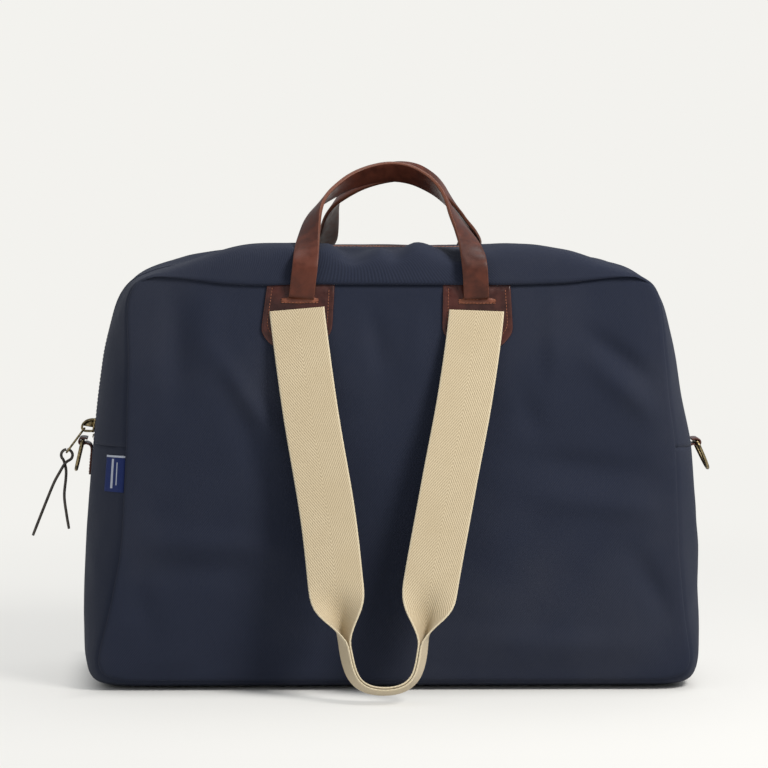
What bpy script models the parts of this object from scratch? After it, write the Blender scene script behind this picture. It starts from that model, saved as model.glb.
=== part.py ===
"""A canvas weekend travel bag with leather handles, webbing shoulder straps, a zip and side D-rings.

Metres, +Z up. X runs along the bag and its front faces -Y. The origin is on the floor under the bag's middle.
Both zip ends stop low on the sides, under the leather tabs that hold the D-rings.
"""

from math import cos, pi, radians, sin

import bmesh
import bpy
import numpy as np
from mathutils import Matrix, Vector

# The canvas shell: outlines of one half, seen from the front, as (x, z, corner radius).
SEAM_CORNERS = (
    (0.2640, 0.008, 0.020),
    (0.2470, 0.105, 0.060),
    (0.2425, 0.210, 0.000),
    (0.2365, 0.335, 0.020),
    (0.2150, 0.364, 0.020),
    (0.1200, 0.360, 0.050),
)
MIDDLE_CORNERS = (
    (0.2750, 0.000, 0.018),
    (0.2765, 0.100, 0.080),
    (0.2685, 0.210, 0.000),
    (0.2475, 0.335, 0.022),
    (0.2220, 0.366, 0.030),
    (0.1200, 0.392, 0.100),
)
BASE, FLANK, ZIP_END, SHOULDER, TOP, CROWN = range(6)
PANEL_Y = 0.0945  # outer face of the front and back panels
CANVAS = 0.0025  # canvas with its backing
GAP = 0.0003
SEAM_Y = PANEL_Y - CANVAS - GAP  # where the gussets' edges meet the panels
FLAT_BASE_Y = 0.078
BULGE_POWER = 3.5

# The zip.
ZIP_SLOT_Y = 0.0090
TAPE = 0.0010
TEETH_Y = (0.0008, 0.0030)
TEETH_THICK = 0.0024
SLIDER_LOW, SLIDER_LENGTH = 0.0095, 0.0125  # along the zip, up from its end
STOP_LOW, STOP_LENGTH = 0.0050, 0.0030
PULLER_OUT, PULLER_UP = 0.0095, 0.0118
PULLER_EYE = Vector((-0.2920, 0, 0.2014))
PULLER_HALF_WIDTH = 0.0032
PULLER_WIRE = 0.0018

# The lace through the puller, and its loop round the puller's eye.
LACE = 0.0026
LACE_LOOP = Vector((-0.2918, 0, 0.1990))
LACE_LOOP_RADIUS = 0.0051

# Leather and webbing. The left patches sit further out than the right ones, and the back repeats the front.
PATCH_MIDDLES = {"left": (-0.0840, -0.0894), "right": (0.0692, 0.0706)}  # x at the top and bottom edges
PATCH_HALF_WIDTH = 0.031
PATCH_LOW, PATCH_HIGH = 0.305, 0.357
PATCH_THICK = 0.0020
PATCH_CUT = 0.011

HANDLE_WIDTH, HANDLE_THICK = 0.022, 0.0036
# Middle line of the front handle, as (x, z), from its left foot to its right one.
HANDLE_LINE = (
    (-0.0840, 0.3465), (-0.0815, 0.3700), (-0.0793, 0.3887), (-0.0768, 0.4020), (-0.0725, 0.4173),
    (-0.0655, 0.4282), (-0.0545, 0.4372), (-0.0380, 0.4468), (-0.0194, 0.4530), (-0.0015, 0.4553),
    (0.0163, 0.4526), (0.0330, 0.4440), (0.0435, 0.4340), (0.0495, 0.4245), (0.0540, 0.4140),
    (0.0600, 0.4020), (0.0648, 0.3887), (0.0672, 0.3700), (0.0688, 0.3465),
)
HANDLE_Y = ((0.3465, -0.0994), (0.3600, -0.1035), (0.3770, -0.1055), (0.4553, -0.0120))  # as (z, y)
HANDLE_BEND, HANDLE_TOP = HANDLE_Y[2:]
HANDLE_RAISED = (0.362, 0.392)  # it leaves the bag between these heights
HANDLE_TURN = (-0.0994, 0.346)  # the line a handle swings on, as (y, z)
# The back handle's bow is narrower and leans to the right.
BOW_NARROWING, BOW_SHIFT, BOW_RETURN = 0.07, 0.0178, 0.0075
BOW_RISE = (0.392, 0.452)

WEB_WIDTH, WEB_THICK = 0.048, 0.0020
WEB_FOLD_TOP, WEB_FOLD_LOW = 0.110, 0.035
WEB_FOLDED_WIDTH, WEB_FOLDED_DEPTH = 0.012, 0.019
# Middle line of a hanging strap, as (x, z), from its left patch to its right one.
WEB_LINE = (
    (-0.0878, 0.3368), (-0.0868, 0.3270), (-0.0820, 0.2900), (-0.0755, 0.2440), (-0.0683, 0.2030),
    (-0.0611, 0.1610), (-0.0565, 0.1220), (-0.0530, 0.0870), (-0.0478, 0.0560), (-0.0432, 0.0310),
    (-0.0345, 0.0165), (-0.0185, 0.0112), (0.0000, 0.0125), (0.0115, 0.0195), (0.0178, 0.0320),
    (0.0216, 0.0560), (0.0255, 0.0870), (0.0318, 0.1220), (0.0395, 0.1610), (0.0475, 0.2030),
    (0.0559, 0.2440), (0.0635, 0.2900), (0.0684, 0.3270), (0.0690, 0.3360),
)
WEB_Y = ((0.0095, -0.1630), (0.018, -0.1610), (0.045, -0.1550), (0.085, -0.1440), (0.150, -0.1300),
         (0.230, -0.1150), (0.300, -0.1040), (0.3365, -0.0990))  # as (z, y)
WEB_TURN = (-0.0990, 0.3395)  # the line a strap swings on, as (y, z), level with the top of its ends

# D-rings and their tabs, measured out from the bag's side and up from the ring's straight bar.
BAR_Z, BAR_OUT = 0.2125, 0.0093
RING_WIRE, RING_HALF_WIDTH, RING_DROP = 0.0033, 0.0135, 0.0270
RING_TILT = {"left": radians(12.9), "right": radians(25)}
TAB_WIDTH, TAB_THICK = 0.022, 0.0016
TAB_STRIP = ((0.0014, -0.030), (0.0014, -0.014), (0.0020, -0.0050), (0.0048, -0.0021), (0.0080, -0.0027),
             (0.0110, -0.0024), (0.0122, 0.0), (0.0110, 0.0024), (0.0080, 0.0027), (0.0048, 0.0021))

LABEL_LOW, LABEL_HIGH = 0.1710, 0.2085
LABEL_Y = (0.0006, 0.0055, 0.0118, 0.0190)  # back from the front seam
LABEL_OUT, LABEL_THICK = 0.0016, 0.0006

LINING = 0.0010
LINING_LOW, LINING_HIGH = 0.0100, 0.325
LINING_HALF_LOW, LINING_HALF_HIGH = 0.232, 0.226  # half its length at the bottom and at the rim
LINING_Y = 0.0885
POCKET_HALF_WIDTH, POCKET_LOW, POCKET_HIGH, POCKET_THICK = 0.110, 0.120, 0.280, 0.0012
BOARD_HALF_LENGTH, BOARD_HALF_WIDTH, BOARD_THICK = 0.235, 0.072, 0.0025


def clear_scene():
    for old in list(bpy.data.objects):
        bpy.data.objects.remove(old)


def material(name, color, roughness, metallic=0.0):
    made = bpy.data.materials.new(name)
    made.use_nodes = True
    shader = made.node_tree.nodes["Principled BSDF"]
    shader.inputs["Base Color"].default_value = (*color, 1)
    shader.inputs["Roughness"].default_value = roughness
    shader.inputs["Metallic"].default_value = metallic
    return made


def place(name, data, finish, origin=None):
    """The object, with its own origin at origin: for a moving piece, a point on its joint's axis."""
    origin = Vector(origin or (0, 0, 0))
    data.transform(Matrix.Translation(-origin))
    data.materials.append(finish)
    made = bpy.data.objects.new(name, data)
    made.location = origin
    bpy.context.scene.collection.objects.link(made)
    return made


def hang_on(child, carrier):
    """Parents a moving piece to the moving piece that carries it, where it already lies."""
    child.location -= carrier.location
    child.parent = carrier


def mesh_from(name, points, faces):
    mesh = bpy.data.meshes.new(name)
    mesh.from_pydata(points, [], faces)
    work = bmesh.new()
    work.from_mesh(mesh)
    bmesh.ops.recalc_face_normals(work, faces=work.faces)
    work.to_mesh(mesh)
    work.free()
    return mesh


def sheet(name, rows, thickness, finish):
    """A grid of points, thickened inwards into one closed solid. Its rows lie further back in turn."""
    wide = len(rows[0])
    faces = [
        (r * wide + c, r * wide + c + 1, (r + 1) * wide + c + 1, (r + 1) * wide + c)
        for r in range(len(rows) - 1)
        for c in range(wide - 1)
    ]
    mesh = bpy.data.meshes.new(name)
    mesh.from_pydata([point for row in rows for point in row], [], faces)
    made = place(name, mesh, finish)
    thicken = made.modifiers.new("thickness", "SOLIDIFY")
    thicken.thickness = thickness
    thicken.offset = -1
    thicken.use_even_offset = True
    return made


def swept(name, rings, finish, origin=None):
    """One closed solid through rings of points, capped at both ends."""
    size = len(rings[0])
    faces = [
        (r * size + c, r * size + (c + 1) % size, (r + 1) * size + (c + 1) % size, (r + 1) * size + c)
        for r in range(len(rings) - 1)
        for c in range(size)
    ]
    faces.append(tuple(range(size)))
    faces.append(tuple((len(rings) - 1) * size + c for c in range(size)))
    return place(name, mesh_from(name, [p for ring in rings for p in ring], faces), finish, origin)


def block(name, low, high, finish, frame=None):
    """A box between two corners, placed by frame where it is given."""
    frame = frame or Matrix.Identity(4)
    corners = [frame @ Vector((x, y, z))
               for x in (low[0], high[0]) for y in (low[1], high[1]) for z in (low[2], high[2])]
    faces = [(0, 1, 3, 2), (4, 6, 7, 5), (0, 4, 5, 1), (2, 3, 7, 6), (0, 2, 6, 4), (1, 5, 7, 3)]
    return place(name, mesh_from(name, corners, faces), finish)


def tube(name, points, diameter, finish, origin=None, closed=False):
    curve = bpy.data.curves.new(name, "CURVE")
    curve.dimensions = "3D"
    curve.bevel_depth = diameter / 2
    curve.bevel_resolution = 2
    curve.use_fill_caps = not closed
    spline = curve.splines.new("POLY")
    spline.points.add(len(points) - 1)
    spline.use_cyclic_u = closed
    for target, point in zip(spline.points, points):
        target.co = (*point, 1)
    return place(name, curve, finish, origin)


def joined(base, *others):
    """Unites solids that overlap into base."""
    for other in others:
        other.hide_render = True
        other.display_type = "WIRE"
        union = base.modifiers.new(other.name, "BOOLEAN")
        union.operation = "UNION"
        union.solver = "EXACT"
        union.object = other
    return base


def smooth_curve(points, steps):
    """A Catmull-Rom curve through the points, with steps stretches between each two."""
    points = [Vector(p) for p in points]
    padded = [2 * points[0] - points[1], *points, 2 * points[-1] - points[-2]]
    found = []
    for before, start, end, after in zip(padded, padded[1:], padded[2:], padded[3:]):
        for step in range(steps):
            t = step / steps
            found.append(
                start
                + (end - before) * (t / 2)
                + (2 * before - 5 * start + 4 * end - after) * (t * t / 2)
                + (3 * start - before - 3 * end + after) * (t**3 / 2)
            )
    return [*found, points[-1]]


def along_table(table, place):
    """The table's second value at a place among its first ones."""
    return float(np.interp(place, [row[0] for row in table], [row[1] for row in table]))


def smooth_share(value, low, high):
    """0 below low, 1 above high, and a smooth step between."""
    share = min(1, max(0, (value - low) / (high - low)))
    return share * share * (3 - 2 * share)


def tangents(points):
    ends = [points[0], *points, points[-1]]
    return [(after - before).normalized() for before, after in zip(ends, ends[2:])]


def strip_rings(path, acrosses, widths, thicknesses):
    """Rectangles along path: each as wide as widths along its across direction."""
    rings = []
    for point, along, across, width, thick in zip(path, tangents(path), acrosses, widths, thicknesses):
        side = (across - along * across.dot(along)).normalized() * (width / 2)
        face = along.cross(side).normalized() * (thick / 2)
        rings.append([point - side - face, point + side - face, point + side + face, point - side + face])
    return rings


def mirrored(points, axis):
    flip = Vector([-1 if i == axis else 1 for i in range(3)])
    return [point * flip for point in points]


def bulge(y):
    """How far out the gusset stands at depth y: 0 at the seams, 1 at the middle."""
    return 1 - abs(y / SEAM_Y) ** BULGE_POWER


def corners_at(y):
    share = bulge(y)
    found = []
    for seam, middle in zip(SEAM_CORNERS, MIDDLE_CORNERS):
        found.append([s + (m - s) * share for s, m in zip(seam, middle)])
    lift = max(0, (abs(y) - FLAT_BASE_Y) / (SEAM_Y - FLAT_BASE_Y))
    found[BASE][1] = SEAM_CORNERS[BASE][1] * lift
    return found


def rounded(start, corners, end, steps=4):
    """A path from start to end whose corners are rounded off."""
    stops = [Vector(start), *[Vector(c[:2]) for c in corners], Vector(end)]
    path = [stops[0]]
    for before, here, after, corner in zip(stops, stops[1:], stops[2:], corners):
        into = (here - before).normalized()
        out = (after - here).normalized()
        cut = corner[2] * abs(into.angle_signed(out)) / 2
        for step in range(steps + 1):
            t = step / steps
            path.append(here - into * (cut * (1 - t) ** 2) + out * (cut * t * t))
    return [*path, stops[-1]]


def whole_path(half, y):
    """Points at depth y from the left half, through the middle, to the right half."""
    right = [Vector((p.x, y, p.y)) for p in half]
    return [*mirrored(right[:0:-1], 0), *right]


def band(name, path_at, depths, thickness, finish):
    return sheet(name, [path_at(y) for y in sorted(depths)], thickness, finish)


def lower_path(y):
    corners = corners_at(y)
    zip_end = Vector(corners[ZIP_END][:2])
    down = (Vector(corners[FLANK][:2]) - zip_end).normalized()
    return whole_path(rounded((0, corners[BASE][1]), corners[BASE:ZIP_END], zip_end + down * GAP), y)[::-1]


def upper_path(y):
    corners = corners_at(y)
    zip_end = Vector(corners[ZIP_END][:2])
    crown = (0, corners[CROWN][1])
    return whole_path(rounded(crown, corners[:ZIP_END:-1], zip_end), y)


def seam_outline():
    corners = corners_at(SEAM_Y)
    half = rounded((0, corners[BASE][1]), corners[BASE:ZIP_END], corners[ZIP_END][:2])
    half += rounded(corners[ZIP_END][:2], corners[SHOULDER:], (0, corners[CROWN][1]))[1:]
    right = [Vector((p.x, 0, p.y)) for p in half]
    return [*right, *mirrored(right[-2:0:-1], 0)]


def panel(name, sign, finish):
    near, far = sign * PANEL_Y, sign * (PANEL_Y - CANVAS)
    return swept(name, [[p + Vector((0, y, 0)) for p in seam_outline()] for y in (near, far)], finish)


def canvas_shell(canvas):
    panel("front_panel", -1, canvas)
    panel("back_panel", 1, canvas)
    depths = [SEAM_Y * share for share in (1, 0.94, 0.85, 0.68, 0.40)]
    band("lower_gusset", lower_path, [-d for d in depths] + [0] + depths, CANVAS, canvas)
    band("zip_gusset_front", upper_path, [-d for d in [*depths, ZIP_SLOT_Y]], CANVAS, canvas)
    band("zip_gusset_back", upper_path, [*depths, ZIP_SLOT_Y], CANVAS, canvas)


def zip_frame(side):
    """From (out of the bag, along Y, up the zip from its end) to the world, on the side at -1 or 1."""
    low, high = (Vector((side * c[0], 0, c[1])) for c in MIDDLE_CORNERS[ZIP_END : SHOULDER + 1])
    up = (high - low).normalized()
    out = Vector((side * up.z, 0, -side * up.x))
    turn = Matrix((out, Vector((0, 1, 0)), up)).transposed().to_4x4()
    return Matrix.Translation(low) @ turn


def zip_closure(tape, brass):
    inner, outer = TEETH_Y
    for name, sign in (("front", -1), ("back", 1)):
        tape_edges = [sign * (ZIP_SLOT_Y - GAP), sign * (outer + GAP)]
        band(f"zip_tape_{name}", upper_path, tape_edges, TAPE, tape)
        band(f"zip_teeth_{name}", upper_path, [sign * inner, sign * outer], TEETH_THICK, brass)
    for name, side in (("left", -1), ("right", 1)):
        frame = zip_frame(side)
        low = (GAP, -inner - 0.0015, STOP_LOW)
        high = (0.0012, inner + 0.0015, STOP_LOW + STOP_LENGTH)
        block(f"zip_stop_{name}", low, high, brass, frame)


def zip_slider(brass):
    frame = zip_frame(-1)
    low, high = SLIDER_LOW, SLIDER_LOW + SLIDER_LENGTH
    plate = block("zip_slider", (0.0004, -0.0045, low), (0.0022, 0.0045, high), brass, frame)
    under = block("slider_under", (-0.0042, -0.0045, low), (-0.0028, 0.0045, high), brass, frame)
    post_low, post_high = (-0.0035, -0.0004, low + 0.0005), (0.0010, 0.0004, low + 0.0045)
    post = block("slider_post", post_low, post_high, brass, frame)
    arch = ((0.0014, 0.0112), (0.0055, 0.0101), (0.0093, 0.0097), (0.0115, 0.0116), (0.0102, 0.0140),
            (0.0060, 0.0168), (0.0014, 0.0190))
    path = [frame @ point for point in smooth_curve([(out, 0, up) for out, up in arch], 3)]
    count = len(path)
    rings = strip_rings(path, [Vector((0, 1, 0))] * count, [0.0028] * count, [0.0010] * count)
    bail = swept("slider_bail", rings, brass)
    return joined(plate, post, under, bail)


def puller(brass):
    """An oval of wire from the slider's bail to the eye that the lace goes through."""
    pivot = zip_frame(-1) @ Vector((PULLER_OUT, 0, PULLER_UP))
    reach = (PULLER_EYE - pivot).normalized()
    length = (PULLER_EYE - pivot).length
    aside = Vector((0, 1, 0))
    points = []
    for centre, turn in ((length - PULLER_HALF_WIDTH, 0), (PULLER_HALF_WIDTH, pi)):
        for step in range(9):
            angle = turn - pi / 2 + pi * step / 8
            points.append(
                pivot
                + reach * (centre + PULLER_HALF_WIDTH * cos(angle))
                + aside * (PULLER_HALF_WIDTH * sin(angle))
            )
    return tube("zip_puller", points, PULLER_WIRE, brass, pivot, closed=True)


def lace(finish):
    """Two ends of one leather lace: a loop round the puller's eye, crossed once, and two hanging tails."""
    def on_loop(degrees):
        angle = radians(degrees)
        return LACE_LOOP + Vector((cos(angle), 0, sin(angle))) * LACE_LOOP_RADIUS

    long_route = [*[on_loop(a) for a in (86, 45, 0, -40)],
                  (-0.2938, -0.0016, 0.1915), (-0.2985, -0.0018, 0.1830), (-0.3040, -0.0018, 0.1725),
                  (-0.3142, -0.0018, 0.1472), (-0.3223, -0.0018, 0.1264)]
    short_route = [*[on_loop(a) for a in (94, 135, 180, 218)],
                   (-0.2938, 0.0016, 0.1915), (-0.2925, -0.0008, 0.1855), (-0.2925, -0.0060, 0.1780),
                   (-0.2935, -0.0145, 0.1635), (-0.2913, -0.0185, 0.1472), (-0.2891, -0.0200, 0.1346)]
    return (tube("lace_long", smooth_curve(long_route, 3), LACE, finish, PULLER_EYE),
            tube("lace_short", smooth_curve(short_route, 3), LACE, finish, PULLER_EYE))


def patch(name, middles, sign, finish):
    """A leather patch that widens a little downwards and has cut lower corners."""
    wide = PATCH_HALF_WIDTH
    half = [(wide - 0.001, PATCH_HIGH), (wide + 0.001, PATCH_LOW + PATCH_CUT),
            (wide - 0.004, PATCH_LOW + PATCH_CUT * 0.30), (wide - PATCH_CUT, PATCH_LOW)]
    top_x, low_x = middles
    outline = []
    for x, z in half + [(-x, z) for x, z in half[::-1]]:
        outline.append((x + top_x + (low_x - top_x) * (PATCH_HIGH - z) / (PATCH_HIGH - PATCH_LOW), z))
    near = PANEL_Y + GAP + PATCH_THICK
    depths = (sign * near, sign * (near - PATCH_THICK))
    swept(name, [[Vector((x, y, z)) for x, z in outline] for y in depths], finish)


def handle_twists(line):
    """How far the leather is turned at each point: a quarter turn on the legs, and none at the top."""
    (bend_z, _), top = HANDLE_BEND, max(range(len(line)), key=lambda n: line[n].z)
    steps = [(b - a).length if min(a.z, b.z) >= bend_z else 0 for a, b in zip(line, line[1:])]
    left, right = sum(steps[:top]), sum(steps[top:])
    shares = [sum(steps[:n]) / left if n < top else sum(steps[n:]) / right for n in range(len(line))]
    return [pi / 2 * (1 - share) ** 1.7 for share in shares]


def handle(side, finish):
    """A leather strip that runs up from one patch, over a leaning bow, and down to the other.

    It twists as it rises: its face is square to the front on a leg, and turned up at the top.
    """
    sign = 1 if side == "front" else -1
    line = smooth_curve([(x, along_table(HANDLE_Y, z), z) for x, z in HANDLE_LINE], 2)
    if side == "back":
        for point in line:
            raised, high = smooth_share(point.z, *HANDLE_RAISED), smooth_share(point.z, *BOW_RISE)
            point.x = point.x * (1 - BOW_NARROWING * raised) + BOW_SHIFT * raised - BOW_RETURN * high
    (bend_z, bend_y), (top_z, top_y) = HANDLE_BEND, HANDLE_TOP
    leaning = Vector((0, -(top_z - bend_z), top_y - bend_y)).normalized()
    inners = []
    for point, along, twist in zip(line, tangents(line), handle_twists(line)):
        forward = Vector((0, -1, 0)).lerp(leaning, smooth_share(point.z, *HANDLE_RAISED)).normalized()
        inners.append(along.cross(forward).normalized() * sin(twist) + forward * cos(twist))
    flip = Vector((1, sign, 1))
    line, inners = [point * flip for point in line], [inner * flip for inner in inners]
    count = len(line)
    rings = strip_rings(line, inners, [HANDLE_WIDTH] * count, [HANDLE_THICK] * count)
    turn_y, turn_z = HANDLE_TURN
    swept(f"handle_{side}", rings, finish, (0, turn_y * sign, turn_z))


def strap(side, finish):
    """Webbing that hangs flat from its patches and folds lengthwise where it turns on the floor."""
    sign = 1 if side == "front" else -1
    path = smooth_curve([(x, along_table(WEB_Y, z) * sign, z) for x, z in WEB_LINE], 2)
    rings = []
    for point, along in zip(path, tangents(path)):
        folded = min(1, max(0, (WEB_FOLD_TOP - point.z) / (WEB_FOLD_TOP - WEB_FOLD_LOW)))
        width = WEB_WIDTH + (WEB_FOLDED_WIDTH - WEB_WIDTH) * folded
        depth = WEB_THICK + (WEB_FOLDED_DEPTH - WEB_THICK) * folded
        aside = Vector((along.z, 0, -along.x)).normalized() * (width / 2)
        out = Vector((0, depth / 2, 0))
        rings.append([point - aside - out, point + aside - out, point + aside + out, point - aside + out])
    turn_y, turn_z = WEB_TURN
    swept(f"strap_{side}", rings, finish, (0, turn_y * sign, turn_z))


def side_x(z):
    """Half the bag's width at the middle of its depth, near the zip's end."""
    lower, upper = MIDDLE_CORNERS[ZIP_END], MIDDLE_CORNERS[SHOULDER]
    if z < lower[1]:
        lower, upper = MIDDLE_CORNERS[FLANK], MIDDLE_CORNERS[ZIP_END]
    return lower[0] + (upper[0] - lower[0]) * (z - lower[1]) / (upper[1] - lower[1])


def side_tab(side, sign, finish):
    """A leather strip sewn down the side, looped round the D-ring's bar."""
    route = [(sign * (side_x(BAR_Z + up) + GAP + out), 0, BAR_Z + up) for out, up in TAB_STRIP]
    path = smooth_curve(route, 3)
    count = len(path)
    rings = strip_rings(path, [Vector((0, 1, 0))] * count, [TAB_WIDTH] * count, [TAB_THICK] * count)
    swept(f"tab_{side}", rings, finish)


def d_ring(side, sign, brass):
    bar = Vector((sign * (side_x(BAR_Z) + BAR_OUT), 0, BAR_Z))
    hang = Vector((sign * sin(RING_TILT[side]), 0, -cos(RING_TILT[side])))
    aside = Vector((0, 1, 0))
    points = [bar + aside * (RING_HALF_WIDTH * share) for share in (0.6, 0, -0.6)]
    for step in range(17):
        angle = pi * step / 16
        points.append(bar + hang * (RING_DROP * sin(angle)) - aside * (RING_HALF_WIDTH * cos(angle)))
    tube(f"d_ring_{side}", points, RING_WIRE, brass, bar, closed=True)


def side_label(finish):
    """A small woven label on the left gusset, sewn in beside the front seam."""
    middle = (LABEL_LOW + LABEL_HIGH) / 2
    rows = []
    for back in LABEL_Y:
        corners = corners_at(-SEAM_Y + back)
        (x_low, z_low, _), (x_high, z_high, _) = corners[FLANK], corners[ZIP_END]
        slope = (x_high - x_low) / (z_high - z_low)
        row = []
        for z in (LABEL_LOW, middle, LABEL_HIGH):
            row.append(Vector((-(x_low + slope * (z - z_low)) - LABEL_OUT, -SEAM_Y + back, z)))
        rows.append(row)
    sheet("side_label", rows, LABEL_THICK, finish)


def lining_ring(half_length, half_depth, z):
    return [Vector((x * half_length, y * half_depth, z)) for x, y in ((-1, -1), (1, -1), (1, 1), (-1, 1))]


def insides(lining, board):
    """The open-topped lining, its slip pocket, and the stiff board under it."""
    rings = [lining_ring(LINING_HALF_LOW, LINING_Y, LINING_LOW),
             lining_ring(LINING_HALF_HIGH, LINING_Y, LINING_HIGH),
             lining_ring(LINING_HALF_HIGH - LINING, LINING_Y - LINING, LINING_HIGH),
             lining_ring(LINING_HALF_LOW - LINING, LINING_Y - LINING, LINING_LOW + LINING)]
    swept("lining", rings, lining)
    half, far = POCKET_HALF_WIDTH, LINING_Y - LINING - GAP
    block("inner_pocket", (-half, far - POCKET_THICK, POCKET_LOW), (half, far, POCKET_HIGH), lining)
    length, width, low = BOARD_HALF_LENGTH, BOARD_HALF_WIDTH, CANVAS + GAP
    block("base_board", (-length, -width, low), (length, width, low + BOARD_THICK), board)


def build():
    clear_scene()
    canvas = material("navy_canvas", (0.020, 0.026, 0.042), 0.85)
    handle_leather = material("handle_leather", (0.110, 0.030, 0.020), 0.42)
    patch_leather = material("patch_leather", (0.060, 0.018, 0.014), 0.48)
    webbing = material("beige_webbing", (0.600, 0.510, 0.330), 0.80)
    tape = material("zip_tape", (0.140, 0.050, 0.028), 0.75)
    brass = material("antique_brass", (0.190, 0.160, 0.085), 0.35, 1.0)
    lace_leather = material("lace_leather", (0.055, 0.047, 0.036), 0.60)
    label = material("woven_label", (0.030, 0.070, 0.230), 0.70)
    lining = material("cotton_lining", (0.350, 0.330, 0.290), 0.85)
    board = material("base_board", (0.080, 0.070, 0.060), 0.70)

    canvas_shell(canvas)
    zip_closure(tape, brass)
    insides(lining, board)
    for side, sign in (("front", -1), ("back", 1)):
        for end, middles in PATCH_MIDDLES.items():
            patch(f"patch_{side}_{end}", middles, sign, patch_leather)
        handle(side, handle_leather)
        strap(side, webbing)
    for side, sign in (("left", -1), ("right", 1)):
        side_tab(side, sign, patch_leather)
        d_ring(side, sign, brass)
    side_label(label)
    slider = zip_slider(brass)
    pull = puller(brass)
    hang_on(pull, slider)
    for end in lace(lace_leather):
        hang_on(end, pull)


build()
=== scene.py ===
"""The looks of a navy canvas weekend bag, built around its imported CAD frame. Metres, +Z up, front to -Y."""

import math

import bmesh
import bpy
import numpy as np
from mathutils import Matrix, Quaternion, Vector, noise


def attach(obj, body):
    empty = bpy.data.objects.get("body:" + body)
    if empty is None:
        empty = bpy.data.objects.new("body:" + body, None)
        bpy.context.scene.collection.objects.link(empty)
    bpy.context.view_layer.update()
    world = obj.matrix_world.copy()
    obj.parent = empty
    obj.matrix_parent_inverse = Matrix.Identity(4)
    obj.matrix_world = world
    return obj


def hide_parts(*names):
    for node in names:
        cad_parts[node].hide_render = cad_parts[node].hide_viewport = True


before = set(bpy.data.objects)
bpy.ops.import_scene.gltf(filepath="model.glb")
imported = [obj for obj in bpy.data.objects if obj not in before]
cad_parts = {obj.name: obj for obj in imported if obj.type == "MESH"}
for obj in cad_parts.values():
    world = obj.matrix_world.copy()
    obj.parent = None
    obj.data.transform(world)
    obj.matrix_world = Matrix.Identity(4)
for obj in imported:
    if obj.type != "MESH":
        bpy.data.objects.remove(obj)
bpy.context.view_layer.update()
scene = bpy.context.scene
scene.view_settings.view_transform = "Standard"

# ---- camera

AZIMUTH, ELEVATION = math.radians(-3), math.radians(4.5)
DISTANCE, ROLL = 3.0, math.radians(0.35)
TARGET = Vector((-0.0063, 0, 0.2637))


def add(name, data):
    made = bpy.data.objects.new(name, data)
    scene.collection.objects.link(made)
    return made


camera = add("camera", bpy.data.cameras.new("camera"))
flat = math.cos(ELEVATION)
away = Vector((math.sin(AZIMUTH) * flat, -math.cos(AZIMUTH) * flat, math.sin(ELEVATION)))
camera.location = TARGET + away * DISTANCE
camera.rotation_euler = (away.to_track_quat("Z", "Y") @ Quaternion((0, 0, 1), ROLL)).to_euler()
camera.data.sensor_width = 36
camera.data.lens = 155.7
scene.camera = camera


# ---- shapes


def ease(value, low, high):
    """0 below low, 1 above high, and a smooth step between. low may be above high."""
    share = np.clip((value - low) / (high - low), 0, 1)
    return share * share * (3 - 2 * share)


def unit(rows):
    rows = np.asarray(rows, float)
    return rows / np.maximum(np.linalg.norm(rows, axis=-1, keepdims=True), 1e-12)


def smooth_curve(points, steps):
    """A Catmull-Rom curve through the points, with steps stretches between each two."""
    points = np.asarray(points, float)
    padded = np.vstack([2 * points[0] - points[1], points, 2 * points[-1] - points[-2]])
    found = [start + (end - before) * (t / 2) + (2 * before - 5 * start + 4 * end - after) * (t * t / 2)
             + (3 * start - before - 3 * end + after) * (t ** 3 / 2)
             for before, start, end, after in zip(padded, padded[1:], padded[2:], padded[3:])
             for t in np.arange(steps) / steps]
    return np.array([*found, points[-1]])


def length_along(path):
    return np.concatenate([[0], np.cumsum(np.linalg.norm(np.diff(path, axis=0), axis=1))])


def tangents(path):
    return unit(np.gradient(np.asarray(path, float), axis=0))


def rough(points, size, seed, height=1.0):
    """Smooth noise at points, with lumps of that size, from -height to height."""
    shift = Vector((seed * 3.7, seed * 1.3, seed * 7.1))
    flat = np.asarray(points, float).reshape(-1, 3) / size
    values = np.array([noise.noise(Vector(p) + shift) for p in flat])
    return values.reshape(np.asarray(points).shape[:-1]) * height


def sampled(rows, far, places):
    """What the rows, which lie at far, are at places."""
    return np.stack([np.interp(places, far, column) for column in np.asarray(rows, float).T], axis=1)


def wrap(rows):
    """Rows with their first column once more at the end."""
    return np.concatenate([rows, rows[:, :1]], axis=1)


def mesh_object(name, points, faces, corners=None, smooth=True):
    """A mesh object with one UV layer. corners has a UV for each corner of each face."""
    mesh = bpy.data.meshes.new(name)
    mesh.from_pydata(np.reshape(points, (-1, 3)).tolist(), [], faces)
    layer = mesh.uv_layers.new(name="UVMap")
    if corners:
        layer.data.foreach_set("uv", np.array(corners, np.float32).ravel())
    if smooth:
        mesh.shade_smooth()
    return add(name, mesh)


def quads(rows, wide, first=0, closed=True):
    """Faces between rows of points that are numbered on from first."""
    steps = [(first + k, first + (k + 1) % wide) for k in range(wide if closed else wide - 1)]
    return [(a + at, b + at, b + at + wide, a + at + wide)
            for at in range(0, (rows - 1) * wide, wide) for a, b in steps]


def grid_object(name, rows, uvs, closed=False, caps=False):
    """A smooth sheet through a grid of points. uvs has one column more when the sheet is closed."""
    rows, uvs = np.asarray(rows, float), np.asarray(uvs, float)
    high, wide = rows.shape[:2]
    faces = quads(high, wide, closed=closed)
    corners = [uvs[row, k] for r in range(high - 1) for c in range(wide if closed else wide - 1)
               for row, k in ((r, c), (r, c + 1), (r + 1, c + 1), (r + 1, c))]
    if caps:
        for r, order in ((0, range(wide - 1, -1, -1)), (high - 1, range(wide))):
            faces.append(tuple(r * wide + c for c in order))
            corners += [uvs[r, c] for c in order]
    return mesh_object(name, rows, faces, corners)


FACE_STEPS, CORNER_STEPS = 6, 3


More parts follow.
